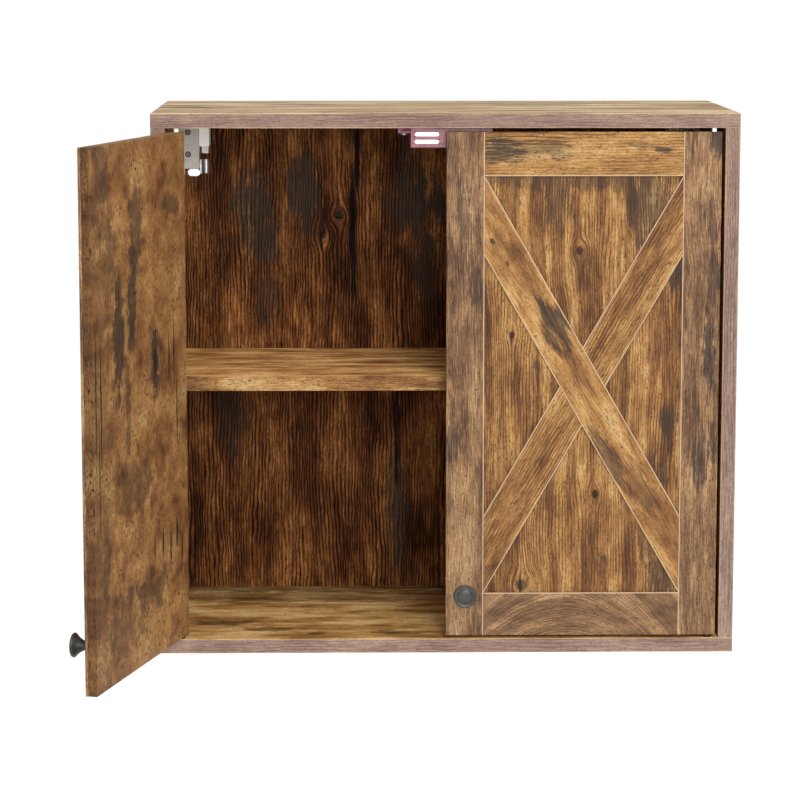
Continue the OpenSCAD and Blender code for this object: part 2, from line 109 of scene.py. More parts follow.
# %% [markdown]
# ## Writing shaders as sums
# A procedural finish is mostly arithmetic on patterns. Wrapping a socket in a small class lets
# Python's own operators lay down the Math nodes, so that a finish reads like the sum that it is.
# Every other node comes from one method, which takes the node's type, its settings and what goes
# into its sockets.

# %% A socket that can be added and multiplied
class Wire:
    """A socket of a finish's node tree."""

    def __init__(self, tree, socket=None):
        self.tree = tree
        self.socket = socket

    def node(self, kind, settings=None, inputs=None, outlet=0):
        """Adds a node: its settings are set first, then its sockets get values or links."""
        made = self.tree.nodes.new(kind)
        for name, value in (settings or {}).items():
            if name == "stops":
                self._lay_stops(made.color_ramp, value)
            else:
                setattr(made, name, value)
        for name, value in (inputs or {}).items():
            if isinstance(value, Wire):
                self.tree.links.new(value.socket, made.inputs[name])
            else:
                made.inputs[name].default_value = value
        return Wire(self.tree, made.outputs[outlet] if len(made.outputs) else None)

    @staticmethod
    def _lay_stops(ramp, stops):
        """Gives a colour ramp as many stops as it needs, and their places and colours."""
        while len(ramp.elements) < len(stops):
            ramp.elements.new(0.5)
        for element, (place, colour) in zip(ramp.elements, stops):
            element.position = place
            element.color = colour

    def math(self, operation, *values):
        """A Math node on these values, which are numbers or wires."""
        return self.node("ShaderNodeMath", {"operation": operation}, dict(enumerate(values)))

    def __add__(self, other):
        return self.math("ADD", self, other)

    def __radd__(self, other):
        return self.math("ADD", other, self)

    def __sub__(self, other):
        return self.math("SUBTRACT", self, other)

    def __rsub__(self, other):
        return self.math("SUBTRACT", other, self)

    def __mul__(self, other):
        return self.math("MULTIPLY", self, other)

    def __rmul__(self, other):
        return self.math("MULTIPLY", other, self)

    def most(self, other):
        """The larger of two numbers."""
        return self.math("MAXIMUM", self, other)

    def size(self):
        """This number without its sign."""
        return self.math("ABSOLUTE", self)

    def rise(self, low, high):
        """0 up to low, 1 from high, smooth between; falls instead where low is above high."""
        ends = (low, high, 0.0, 1.0) if low < high else (high, low, 1.0, 0.0)
        settings = {"interpolation_type": "SMOOTHSTEP"}
        return self.node("ShaderNodeMapRange", settings, dict(enumerate((self, *ends))))

    def vector(self, operation, *values, outlet=0):
        """A Vector Math node whose first input is this vector."""
        settings = {"operation": operation}
        return self.node("ShaderNodeVectorMath", settings, dict(enumerate((self, *values))), outlet)

    def parts(self):
        """The three numbers of a vector."""
        split = self.node("ShaderNodeSeparateXYZ", None, {0: self}).socket.node
        return [Wire(self.tree, out) for out in split.outputs]

    def noise(self, scale, detail=2.0, roughness=0.5):
        """Soft noise on this vector; scale holds how many features go in a unit each way."""
        stretched = self.vector("MULTIPLY", scale)
        inputs = {"Vector": stretched, "Scale": 1.0, "Detail": detail, "Roughness": roughness}
        return stretched.node("ShaderNodeTexNoise", None, inputs)

    def ramp(self, *stops):
        """A colour looked up by this number; each stop is (place, colour)."""
        return self.node("ShaderNodeValToRGB", {"stops": stops}, {0: self})

    def blended(self, other, share, blend="MIX"):
        """This colour with another laid over it by a share."""
        settings = {"data_type": "RGBA", "blend_type": blend}
        return self.node("ShaderNodeMix", settings, {0: share, 6: self, 7: other}, 2)


print("wires can do:", sorted(name for name in vars(Wire) if not name.startswith("_")))

# %% [markdown]
# ## Colours and materials
# Colours are easiest to judge as the 0 to 255 numbers of a screen, while shaders add light. One
# helper turns the first into the second, and a share makes all of a board's tones lighter or
# darker together. The others start a material, fill its main shader's sockets and give it relief.

# %% Starting and feeding a material
def tint(red, green, blue, share=1.0):
    """A colour from 0 to 255 numbers, in the linear light that shaders work in, times a share."""
    parts = [c / 255 for c in (red, green, blue)]
    linear = [c / 12.92 if c <= 0.04045 else ((c + 0.055) / 1.055) ** 2.4 for c in parts]
    return (*(c * share for c in linear), 1.0)


def new_finish(name):
    """An empty material, its node tree's first wire and its main shader node."""
    material = bpy.data.materials.new(name)
    material.use_nodes = True
    shader = material.node_tree.nodes["Principled BSDF"]
    return material, Wire(material.node_tree), shader


def feed(shader, **values):
    """Sets or links sockets of the main shader; an underscore stands for a space."""
    for name, value in values.items():
        socket = shader.inputs[name.replace("_", " ")]
        if isinstance(value, Wire):
            value.tree.links.new(value.socket, socket)
        else:
            socket.default_value = value


def relief(height, depth):
    """A bump, depth metres deep, whose normal feeds the main shader."""
    return height.node("ShaderNodeBump", None, {"Strength": 1.0, "Distance": depth, "Height": height})


print("mid grey in linear light:", [round(c, 3) for c in tint(128, 128, 128)[:3]])

# %% [markdown]
# ## Aged timber
# The boards wear a printed paper of weathered softwood: golden earlywood, thin dark latewood
# lines, charcoal stains, pits and a few knots. A picture could be wrapped round them, but a solid
# pattern follows each board through all its faces and needs no seams. The coordinates are turned
# into millimetres along and across the grain first. Slow noise then bends the lines, and each knot
# pushes them aside, as a branch does in a growing trunk. Knots, cracks, stains and a few patches
# of painted shade that have a place of their own are ellipses on the board, and noise makes the
# stains' outlines ragged.

# %% Spots in the timber
THROUGH = 1000


def reach_from(point, along, across, half_length, half_width):
    """How far a point lies from the middle of a spot: 1 on the outline of its ellipse."""
    inputs = {
        "Vector": point,
        "Location": (along, across, 0),
        "Scale": (half_length, half_width, THROUGH),
    }
    placed = point.node("ShaderNodeMapping", {"vector_type": "TEXTURE"}, inputs)
    return placed.vector("LENGTH", outlet=1)


def marks_mask(point, ragged, marks):
    """Stained places and patches of painted shade; each mark is
    (along, across, half length, half width, strength).
    """
    total = None
    for along, across, half_length, half_width, strength in marks:
        reach = reach_from(point, along, across, half_length, half_width) + ragged
        spot = reach.rise(1.15, 0.6) * strength
        total = spot if total is None else total.most(spot)
    return total


print("spots run", THROUGH, "mm through a board, so they show on both faces")

# %% [markdown]
# ## Grain, knots and stains
# Almost everything in the paper is longer along the grain than across it, so each noise is given
# as a length and a width in millimetres. The latewood lines are a sine wave across the grain,
# drawn on the bent coordinates. Zones, clouds and blotches are slower noises on top of them.

# %% The timber pattern
SEED_STRIDE = (731.0, 377.0, 193.0)
WANDER_SIZE = (140, 45)
RIPPLE_SIZE = (20, 9)
FIBRE_SIZE = (17, 1.1)
FLECK_SIZE = (3.0, 1.1)
DRIFT_SIZE = (240, 34)
PIT_SIZE = (5.0, 1.6)
DRIFT_PHASE = 30
LINE_ROUGHNESS = 1.6
RING_TILT = 0.9


def streaks(wire, size, detail, roughness=0.5):
    """Noise whose features have this length along the grain and this width across it."""
    length, width = size
    return wire.noise((1 / length, 1 / width, 1 / width), detail, roughness)


def timber_pattern(point, look):
    """The masks that every timber finish is mixed from, for a point in millimetres."""
    moved = point.vector("ADD", tuple(look["seed"] * stride for stride in SEED_STRIDE))
    x, y, z = moved.parts()
    along, across, _ = point.parts()
    wander = (streaks(moved, WANDER_SIZE, 2) - 0.5) * look["wander"]
    ripple = (streaks(moved, RIPPLE_SIZE, 1) - 0.5) * look["ripple"]
    side = y + wander + ripple
    knot_dark = None
    for knot_along, knot_across, radius, length in look["knots"]:
        reach = reach_from(point, knot_along, knot_across, radius * length, radius)
        side = side - (across - knot_across) * reach.rise(4.0, 0.6) * 0.85
        spot = reach.rise(1.2, 0.6)
        knot_dark = spot if knot_dark is None else knot_dark.most(spot)
    if look["arcs"]:
        crest, bow = look["arcs"]
        side = side + (along - crest) * (along - crest) * bow
    grain = moved.node("ShaderNodeCombineXYZ", None, {0: x, 1: side, 2: z})
    zone = streaks(grain, (look["zone_length"], look["zone_width"]), 3, 0.55)
    fibres = streaks(grain, FIBRE_SIZE, 3, 0.7)
    flecks = streaks(moved, FLECK_SIZE, 1)
    blotch = streaks(moved, look["blotch_size"], 3, 0.6)
    cloud = streaks(moved, look["cloud_size"], 3, 0.6)
    drift = streaks(grain, DRIFT_SIZE, 1)
    rough = (fibres - 0.5) * LINE_ROUGHNESS
    phase = (side + z * RING_TILT) * (2 * pi / look["pitch"]) + (drift - 0.5) * DRIFT_PHASE + rough
    rings = phase.math("SINE", phase) + rough
    return {
        "zone": zone.rise(0.5 - look["zone_soft"], 0.5 + look["zone_soft"]),
        "lines": rings.rise(0.3, 0.95),
        "flecks": flecks.rise(0.52, 0.7),
        "fibres": fibres,
        "cloud": cloud,
        "ragged": rough + (blotch - 0.5) * 2.2,
        "blotch": blotch,
        "pits": streaks(moved, PIT_SIZE, 0),
        "knots": knot_dark,
    }


print("latewood lines lean", RING_TILT, "mm across the grain for each mm of depth")

# %% [markdown]
# ## Mixing a board's colour
# The masks only say where. The colour starts as one tone, moved up and down by zones, clouds,
# fibres and blotches, and looked up in a ramp of five timber tones. Three darker tones are then
# laid over it: one for lines and flecks, one for stains and the placed patches of painted shade,
# and one for cracks, pits and knots.

# %% The timber colour
def timber_colour(mask, look, tones, point):
    """Mixes one board's colour from its masks and its tones."""
    tone = look["bright"] + (mask["zone"] - 0.5) * look["zoning"]
    tone = tone + (mask["cloud"] - 0.5) * look["clouding"]
    tone = tone + (mask["fibres"] - 0.5) * look["fibre"] + (mask["blotch"] - 0.5) * look["blotching"]
    share = tones["share"]
    colour = tone.ramp(*((place, tint(*rgb, share)) for place, rgb in tones["ramp"]))
    faint = mask["cloud"].rise(0.64, 0.42) * 0.75 + 0.25
    colour = colour.blended(tint(*tones["line"], share), mask["lines"] * faint * look["lining"])
    colour = colour.blended(tint(*tones["line"], share), mask["flecks"] * look["flecking"])
    stain = (mask["cloud"] + (mask["fibres"] - 0.5) * 0.5).rise(*look["stain"]) * look["staining"]
    # the placed marks are real stains, and on two boards also patches of painted shade in the stain tone
    placed = marks_mask(point, mask["ragged"], look["marks"])
    if placed:
        stain = stain.most(placed)
    stain = stain * (0.86 - (mask["fibres"] - 0.5) * 1.3)
    colour = colour.blended(tint(*tones["stain"], share), stain)
    cracks = marks_mask(point, (mask["fibres"] - 0.5) * 1.2, look["cracks"])
    if cracks:
        colour = colour.blended(tint(*tones["pit"], share), cracks)
    holes = (mask["pits"] + (mask["cloud"] - 0.5) * 0.5).rise(*look["pit"]) * look["pitting"]
    colour = colour.blended(tint(*tones["pit"], share), holes)
    if mask["knots"]:
        colour = colour.blended(tint(*tones["pit"], share), mask["knots"] * 0.8)
    return colour


print("stains, cracks, pits and knots are laid over a ramp of tones")

# %% [markdown]
# ## The plain look and the tones
# A look is a set of numbers for the pattern: how far the grain wanders, how close its lines lie
# and how strongly each mask shows. Every board starts from the plain look and says only what it
# changes. Tones hold the colours: golden and brown boards, the mauve edge banding, the top's
# paler tones of painted light, the warm inside of the bottom panel and the near-black umber of
# the back.

# %% Looks and tones
PLAIN_LOOK = {
    "seed": 1.0,
    "bright": 0.55,
    "wander": 16.0,
    "ripple": 1.6,
    "zone_length": 150.0,
    "zone_width": 15.0,
    "zone_soft": 0.1,
    "zoning": 0.24,
    "pitch": 3.0,
    "lining": 0.75,
    "cloud_size": (62, 26),
    "clouding": 0.8,
    "blotch_size": (24, 9),
    "blotching": 0.45,
    "fibre": 1.15,
    "flecking": 0.5,
    "ridge": 0.4,
    "stain": (0.64, 0.78),
    "staining": 0.5,
    "pit": (0.74, 0.82),
    "pitting": 0.6,
    "marks": (),
    "cracks": (),
    "knots": (),
    "arcs": None,
}

LIT_SHARE = 0.62
GOLDEN = {
    "share": LIT_SHARE,
    "ramp": (
        (0.0, (72, 46, 31)), (0.25, (106, 70, 43)), (0.5, (148, 104, 61)),
        (0.75, (182, 137, 82)), (1.0, (208, 172, 118)),
    ),
    "line": (66, 39, 22),
    "stain": (60, 50, 43),
    "pit": (34, 25, 21),
}
BROWN = {
    "share": LIT_SHARE,
    "ramp": (
        (0.0, (66, 48, 38)), (0.25, (96, 70, 52)), (0.5, (132, 99, 71)),
        (0.75, (162, 125, 88)), (1.0, (190, 156, 116)),
    ),
    "line": (70, 48, 35),
    "stain": (58, 49, 44),
    "pit": (34, 27, 24),
}
MAUVE = {
    "share": 0.5,
    "ramp": (
        (0.0, (102, 78, 70)), (0.25, (132, 105, 94)), (0.5, (160, 131, 116)),
        (0.75, (178, 149, 131)), (1.0, (200, 172, 150)),
    ),
    "line": (106, 80, 73),
    "stain": (112, 92, 86),
    "pit": (78, 58, 54),
}
# painted light: paler, lighter tones for the top panel, whose face is lit from above
TOP_PAINTED_LIGHT = {
    "share": 0.68,
    "ramp": (
        (0.0, (84, 64, 50)), (0.25, (130, 102, 76)), (0.5, (188, 152, 104)),
        (0.75, (222, 188, 134)), (1.0, (240, 218, 182)),
    ),
    "line": (110, 82, 58),
    "stain": (96, 82, 74),
    "pit": (66, 52, 44),
}
INSIDE = {
    "share": 1.15,
    "ramp": (
        (0.0, (52, 30, 14)), (0.25, (94, 62, 32)), (0.5, (140, 102, 56)),
        (0.75, (178, 138, 82)), (1.0, (206, 172, 118)),
    ),
    "line": (66, 40, 20),
    "stain": (44, 30, 20),
    "pit": (26, 16, 10),
}
UMBER = {
    "share": 1.45,
    "ramp": (
        (0.0, (20, 7, 2)), (0.25, (42, 19, 7)), (0.5, (76, 42, 20)),
        (0.75, (112, 70, 36)), (1.0, (152, 104, 58)),
    ),
    "line": (18, 6, 2),
    "stain": (50, 41, 34),
    "pit": (16, 9, 6),
}
ARRIS_TINT = (212, 182, 150)
BANDING_LOOK = {
    "marks": (), "cracks": (), "bright": 0.55, "zoning": 0.15, "clouding": 0.6, "fibre": 1.6,
    "lining": 0.6, "staining": 0.25, "pitting": 0.3,
}
print("steps in the golden ramp:", len(GOLDEN["ramp"]), "numbers in a look:", len(PLAIN_LOOK))

# %% [markdown]
# ## One finish for each board
# The board's own frame turns object coordinates into millimetres along the grain, across it and
# out of its face. The same three numbers say where the edges are, so the pale worn arris, the
# banding and the painted shade on a side edge need no texture map: each is a mask that rises
# near the edge.

# %% The timber finish
RIM_WIDTH = (1.3, 0.8)
RIM_DEPTH = (1.1, 0.6)
BAND_START = (0.25, 0.4)
BAND_ARRIS = (1.3, 0.7)
# inset of the painted shade on side edges, in millimetres inside the edge
PAINTED_SHADE_EDGE = (0.5, 0.2)


def near_edge(distance, half, inset):
    """A mask that changes between two distances, in millimetres, inside an edge at half."""
    return distance.rise(half - inset[0], half - inset[1])


def timber(
    name, place, tones, edge=None, band_half=None, painted_side_shade=None,
    roughness=0.6, relief_depth=0.00012, **changes
):
    """A timber finish for the board at place.

    edge is (sides, half width, half thickness) in millimetres of a board whose paper wears pale
    on one arris, on the side that sides says with its sign, or on both where sides is 0.
    band_half is half the thickness of a board whose edges wear their own banding.
    A side shade is (half width, colour) of a board whose side edges get painted shade: they are
    darker by that colour.
    """
    look = {**PLAIN_LOOK, **changes}
    material, start, shader = new_finish(name)
    centre, turn, _ = place.decompose()
    coordinates = start.node("ShaderNodeTexCoord", outlet="Object")
    inputs = {
        "Vector": coordinates,
        "Location": centre,
        "Rotation": turn.to_euler("XYZ"),
        "Scale": (MM, MM, MM),
    }
    point = start.node("ShaderNodeMapping", {"vector_type": "TEXTURE"}, inputs)
    mask = timber_pattern(point, look)
    colour = timber_colour(mask, look, tones, point)
    _, across, out = point.parts()
    depth = out.size()
    if band_half:
        band_colour = timber_colour(mask, {**look, **BANDING_LOOK}, MAUVE, point)
        inner = near_edge(depth, band_half, BAND_ARRIS)
        band_colour = band_colour.blended(tint(*ARRIS_TINT, LIT_SHARE), inner * 0.3)
        colour = colour.blended(band_colour, near_edge(depth, band_half, BAND_START))
    if edge:
        sides, half_width, half_thick = edge
        reach = across * sides if sides else across.size()
        rim = near_edge(reach, half_width, RIM_WIDTH) * near_edge(depth, half_thick, RIM_DEPTH)
        colour = colour.blended(tint(*ARRIS_TINT, LIT_SHARE), rim * 0.8)
    # painted shade: a board's side edges are darkened by multiplying a colour
    if painted_side_shade:
        half_width, shade = painted_side_shade
        colour = colour.blended(shade, near_edge(across.size(), half_width, PAINTED_SHADE_EDGE), "MULTIPLY")
    height = mask["fibres"] * 0.6 - mask["lines"] * look["ridge"]
    feed(
        shader,
        Base_Color=colour,
        Roughness=roughness + (mask["fibres"] - 0.5) * 0.3,
        Normal=relief(height, relief_depth),
        Specular_IOR_Level=0.08,
    )
    return material


print("edge banding changes:", sorted(BANDING_LOOK))

# %% [markdown]
# ## Boards with eased arrises
# A CAD board has knife edges, and no real board does: paper and edge banding turn over a small
# radius that catches the light. A copy of each board is merged into one skin, its flat faces are
# dissolved into single polygons, and only its long outward edges are bevelled, so bores and
# grooves keep their true size.

# %% Easing a board
WELD = 2e-6
FLAT_ANGLE = radians(0.5)
CORNER_ANGLE = radians(40)


def is_long_arris(edge, shortest):
    """A long edge between two faces that meet at an outward corner."""
    if len(edge.link_faces) != 2 or edge.calc_length() < shortest:
        return False
    return edge.is_convex and edge.calc_face_angle() > CORNER_ANGLE


def keep(name, bm, body, material, replaced, smooth_angle=35):
    """Turns a finished bmesh into a piece that rides on a body and stands for CAD nodes."""
    mesh = bpy.data.meshes.new(name)
    for face in bm.faces:
        face.smooth = True
    bm.to_mesh(mesh)
    bm.free()
    mesh.set_sharp_from_angle(angle=radians(smooth_angle))
    mesh.materials.append(material)
    piece = bpy.data.objects.new(name, mesh)
    bpy.context.scene.collection.objects.link(piece)
    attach(piece, body)
    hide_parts(*replaced)
    return piece


def merged_copy(node):
    """One closed skin from a CAD node's loose triangles."""
    bm = bmesh.new()
    bm.from_mesh(frame["nodes"][node].data)
    bmesh.ops.remove_doubles(bm, verts=bm.verts, dist=WELD)
    bmesh.ops.dissolve_limit(bm, angle_limit=FLAT_ANGLE, verts=bm.verts, edges=bm.edges)
    return bm


def eased(node, material, radius=0.6 * MM, shortest=9 * MM, segments=3, name=None):
    """A copy of a CAD node with its long arrises rounded over."""
    body = frame["nodes"][node]["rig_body"]
    bm = merged_copy(node)
    arrises = [edge for edge in bm.edges if is_long_arris(edge, shortest)]
    bmesh.ops.bevel(
        bm,
        geom=arrises,
        offset=radius,
        offset_type="OFFSET",
        segments=segments,
        profile=0.5,
        affect="EDGES",
        material=-1,
        clamp_overlap=False,
    )
    piece = keep(name or node + "_board", bm, body, material, [node])
    weighted = piece.modifiers.new("flat_faces", "WEIGHTED_NORMAL")
    weighted.keep_sharp = True
    return piece


print("edges sharper than", round(CORNER_ANGLE * 180 / pi), "degrees are eased")

# %% [markdown]
# ## The carcass
# Top, bottom and sides are the same board: the printed face on both sides and a greyer, finely
# lined banding round the edges. Their finish is one material each, because the grain runs along
# the length of the board and no two boards are cut from the same place in the paper. The tones
# differ too: the top has paler tones of painted light, for a face lit from above, the bottom panel
# is warm and light, and the shelf's golden tones are lightened, painted light for a board in the
# compartment's shade. The front and back edges of the shelf are darker with painted shade.

# %% Carcass boards
CARCASS_HALF = 7.5
CARCASS_LOOKS = {
    "top_panel": dict(
        seed=1.3, bright=0.64, zoning=0.6, zone_length=240, zone_width=15, clouding=1.0,
        cloud_size=(130, 30), staining=0.5,
        marks=(
            (109, 48, 60, 16, 0.7), (-154, 50, 40, 14, 0.6), (-260, -10, 34, 20, 0.6),
            (20, -40, 90, 7, 0.4), (230, 40, 40, 9, 0.5), (-40, 90, 60, 10, 0.5),
        ),
    ),
    "bottom_panel": dict(
        seed=2.1, bright=0.74, zoning=0.25, clouding=1.6, staining=0.9, fibre=0.6, lining=0.35,
        marks=(
            (-235, -66, 34, 12, 0.8), (-51, -112, 34, 9, 0.8), (-180, -95, 40, 10, 0.7),
            # the last two marks are painted shade: the panel darkens towards the back of the compartment
            (-150, 70, 300, 34, 0.5), (-150, 125, 320, 46, 0.7),
        ),
        knots=((-134, -117, 5, 2.0),),
    ),
    "side_panel_left": dict(
        seed=4.3, cloud_size=(150, 40), zoning=0.22, zone_length=260, clouding=0.7, blotching=0.3,
        knots=((120, 40, 4, 1.4), (-140, -60, 3, 1.4)),
        marks=((180, -40, 50, 16, 0.6), (-60, 70, 44, 12, 0.6)),
    ),
    "side_panel_right": dict(
        seed=5.9, cloud_size=(150, 40), zoning=0.22, zone_length=260, clouding=0.7, blotching=0.3,
        knots=((-60, -50, 4, 1.4), (170, 30, 3, 1.4)),
        marks=((-160, 50, 50, 16, 0.6), (60, -80, 44, 12, 0.6)),
    ),
}
CARCASS_TONES = {"top_panel": TOP_PAINTED_LIGHT, "bottom_panel": INSIDE}
for node, look in CARCASS_LOOKS.items():
    along = UP if "side" in node else RIGHT
    place = board_frame(middle(node), along, BACK)
    tones = CARCASS_TONES.get(node, GOLDEN)
    eased(node, timber(node + "_timber", place, tones, band_half=CARCASS_HALF, **look))
print("carcass boards:", len(CARCASS_LOOKS))

# %% Shelf
# painted light: the golden tones made 2.5 times lighter for the shelf, which sits in the compartment's
# shade
SHELF_PAINTED_LIGHT = {**GOLDEN, "share": 1.55}
# painted shade on the shelf's front and back edges
SHELF_EDGE_PAINTED_SHADE = (0.39, 0.385, 0.38, 1)
shelf_low, shelf_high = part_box("shelf")
shelf_half = (shelf_high.y - shelf_low.y) / 2 / MM
shelf_finish = timber(
    "shelf_timber", board_frame(middle("shelf"), RIGHT, BACK), SHELF_PAINTED_LIGHT,
    painted_side_shade=(shelf_half, SHELF_EDGE_PAINTED_SHADE),
    seed=3.7, bright=0.64, zoning=0.3, clouding=1.5, pitch=2.4, lining=0.5,
)
eased("shelf", shelf_finish)
print("shelf depth:", round(2 * shelf_half, 1), "mm")

# %% [markdown]
# ## The back panel
# The back is a thin sheet with a deeply embossed, almost black-brown print. The ridges are golden
# brown, the grooves near black, and broad charcoal stains lie over both. Its relief is deeper than
# the other boards', so that the ridges catch light inside the dark compartment.

# %% Back panel
back_place = board_frame(middle("back_panel"), UP, RIGHT)
back_finish = timber(
    "back_timber", back_place, UMBER, seed=6.2, bright=0.56, wander=9.0, ripple=4.0, pitch=3.6,
    zone_width=26.0, lining=0.9, zoning=0.22, clouding=0.9, fibre=1.2, flecking=0.5, blotching=0.6,
    ridge=1.2, relief_depth=0.0028, roughness=0.5, cloud_size=(110, 34), stain=(0.68, 0.76), staining=0.7,
    knots=((153, -110, 5, 1.2), (133, -129, 5, 1.2)),
    marks=(
        (168, -206, 34, 26, 1.0), (184, -150, 44, 18, 1.0), (126, -196, 26, 22, 1.0),
        (173, -27, 34, 34, 1.0), (236, -32, 40, 14, 0.8), (112, -14, 60, 16, 0.8),
        (164, 6, 34, 14, 1.0), (-170, -47, 80, 12, 0.8), (60, -190, 40, 14, 0.5),
        (-60, -230, 70, 16, 0.5), (-120, 60, 60, 30, 0.6), (-20, 160, 90, 20, 0.6),
    ),
    cracks=(
        (220, -90, 50, 3.5, 1.0), (150, -95, 60, 4.5, 1.0), (90, -94, 40, 3, 0.9),
        (-90, -46, 70, 3, 0.8),
    ),
)
back_board = eased("back_panel", back_finish, radius=0.3 * MM, shortest=60 * MM)
print("back panel's corners:", len(back_board.data.vertices))

# %% [markdown]
# ## The doors
# A door is a panel with boards laid on it: two full-height stiles, two rails between them, and two
# crossing braces, of which the upper and lower halves are cut where the long one passes. Each
# board shows its own piece of timber, with a pale arris where the paper turns over the edge. The
# left door is the same construction mirrored, so every place is worked out closed and then opened.
# It stands open with its inner face in view, so its panel has a look and tones of its own.

# %% Door boards
STILE_W = 39.0
RAIL_W = 45.0
BRACE_FOOT = 81.5
field_low = Vector((door_low.x + STILE_W * MM, 0, door_low.z + RAIL_W * MM))
field_high = Vector((door_high.x - STILE_W * MM, 0, door_high.z - RAIL_W * MM))
field_w = field_high.x - field_low.x
brace_drop = field_high.z - field_low.z - BRACE_FOOT * MM
FALLING = Vector((field_w, 0, -brace_drop))
RISING = Vector((field_w, 0, brace_drop))
door_middle = (door_low + door_high) / 2
brace_half = BRACE_FOOT / 2 * field_w / hypot(field_w, brace_drop)
print("brace half width:", round(brace_half, 2), "mm")


def in_face(direction):
    """The direction across a board that lies in the door's face."""
    return Vector((direction.z, 0, -direction.x))


def door_place(part, along, left):
    """Frame of a door board: its middle on the right door, or that place on the open left door."""
    centre = middle(part + "_right")
    if "brace" in part:
        centre.x, centre.z = door_middle.x, door_middle.z
    if left:
        along = mirrored(along)
        return board_frame(mirrored(centre), along, in_face(along), opened=True)
    return board_frame(centre, along, in_face(along))


# %% Each door board's grain, worn arris and tones
OVERLAY_HALF = 1.5
PANEL_HALF = (door_high.x - door_low.x) / 2 / MM
# painted shade on the side edges of the doors' panels
PANEL_EDGE_PAINTED_SHADE = (0.62, 0.6, 0.58, 1)
STILE_RIM = (STILE_W / 2, OVERLAY_HALF)
RAIL_RIM = (RAIL_W / 2, OVERLAY_HALF)
BRACE_RIM = (brace_half, OVERLAY_HALF)
DOOR_BOARDS = {
    "door_panel": (UP, None, GOLDEN),
    "hinge_stile": (UP, (-1, *STILE_RIM), BROWN),
    "lead_stile": (UP, (1, *STILE_RIM), BROWN),
    "top_rail": (RIGHT, (1, *RAIL_RIM), GOLDEN),
    "bottom_rail": (RIGHT, (-1, *RAIL_RIM), BROWN),
    "long_brace": (FALLING, (0, *BRACE_RIM), GOLDEN),
    "upper_brace": (RISING, (0, *BRACE_RIM), GOLDEN),
    "lower_brace": (RISING, (0, *BRACE_RIM), GOLDEN),
}
print("boards in a door:", len(DOOR_BOARDS))

# %% Looks of the doors' boards
LOOKS_RIGHT = {
    "door_panel": dict(
        seed=7.1, bright=0.5, zoning=0.34, zone_soft=0.09, zone_length=190, clouding=0.9, lining=0.85,
        knots=((140, -4, 4, 1.3), (53, -73, 3, 1.3), (-113, 14, 3.5, 1.4), (-209, -61, 7, 1.0)),
        marks=(
            (190, 66, 62, 22, 0.75), (195, -27, 34, 14, 0.6), (114, 95, 22, 9, 0.9),
            (-36, 90, 24, 10, 0.8), (-96, 83, 18, 9, 0.8), (-181, 23, 5, 4, 0.9),
            (-205, 90, 32, 24, 0.8), (-130, 70, 60, 14, 0.5), (21, -47, 6, 4, 0.8),
            # painted shadow: a dark band across the panel just under the top rail
            (216, 0, 16, 120, 0.65),
        ),
    ),
    "hinge_stile": dict(
        seed=8.4, lining=0.3, fibre=1.7,
        marks=(
            (110, 12, 32, 7, 0.7), (34, 9, 46, 7, 0.95), (255, 14, 18, 10, 0.9),
            (-75, 1, 32, 8, 0.8), (-60, 14, 22, 6, 0.8), (170, 10, 30, 8, 0.5),
        ),
    ),
    "lead_stile": dict(
        seed=9.2, lining=0.3, fibre=1.7, clouding=1.3,
        marks=(
            (179, -2, 46, 9, 0.55), (107, 10, 24, 9, 0.6), (-49, -12, 34, 8, 0.55),
            (240, -12, 24, 6, 0.4),
        ),
    ),
    "top_rail": dict(
        seed=10.6, bright=0.68, zoning=0.1, clouding=0.6, lining=0.75, pitch=3.2, wander=7.0,
        marks=(
            (-86, -4, 30, 13, 0.95), (-45, -6, 34, 9, 0.6), (80, -4, 9, 3.5, 0.9),
            (58, -8, 12, 5, 0.5),
        ),
    ),
    "bottom_rail": dict(seed=11.3, lining=0.75, zoning=0.3, arcs=(-18, -0.006)),
    "long_brace": dict(
        seed=12.8, bright=0.6, zoning=0.2, clouding=1.2, lining=0.15, fibre=0.9,
        marks=(
            (-70, -8, 34, 14, 0.9), (82, 14, 36, 10, 0.7), (-177, 6, 4, 2.4, 1.0),
            (-149, 4, 3, 2, 1.0), (-200, 14, 12, 6, 0.8), (120, 0, 30, 12, 0.4),
        ),
    ),
    "upper_brace": dict(seed=13.5, bright=0.52, lining=0.75, fibre=1.7, wander=6.0),
    "lower_brace": dict(seed=14.9, bright=0.54, lining=0.75, fibre=1.7, wander=6.0),
}
LEFT_SEEDS = 20
LOOKS_LEFT = {part: {**look, "seed": look["seed"] + LEFT_SEEDS} for part, look in LOOKS_RIGHT.items()}
LOOKS_LEFT["door_panel"] = dict(
    seed=27.4, bright=0.56, zoning=0.16, zone_length=40, zone_width=80, lining=0.15, clouding=1.1,
    blotching=0.7, cloud_size=(56, 60), blotch_size=(16, 20), fibre=0.6, flecking=0.6, pitting=0.9,
    pit=(0.68, 0.76), wander=26.0,
    knots=((38, -41, 5, 3.0),),
    marks=(
        (76, 66, 62, 17, 1.0), (112, 26, 62, 13, 0.95), (176, 12, 50, 22, 0.7),
        (38, -41, 34, 14, 1.0), (-75, 22, 30, 70, 0.5), (-190, -22, 20, 60, 0.65),
        (240, 115, 60, 34, 0.55), (-208, 60, 30, 60, 0.5), (0, 130, 400, 62, 0.3),
        (150, 90, 60, 24, 0.5), (-140, 110, 60, 16, 0.55), (190, -100, 12, 26, 0.6),
        (5, 40, 60, 8, 0.6),
    ),
    cracks=(
        (20, 118, 70, 2.2, 0.85), (30, 132, 80, 2.0, 0.8), (-60, 124, 60, 1.8, 0.7),
        (36, -84, 26, 2.4, 0.9), (40, -100, 40, 2.2, 0.9), (-20, -108, 40, 2.2, 0.8),
        (-150, -60, 16, 3, 0.9), (-158, -84, 22, 3, 0.9), (-146, -104, 18, 3, 0.9),
        (-166, -120, 20, 3, 0.8), (-150, -34, 14, 2.6, 0.8),
    ),
)
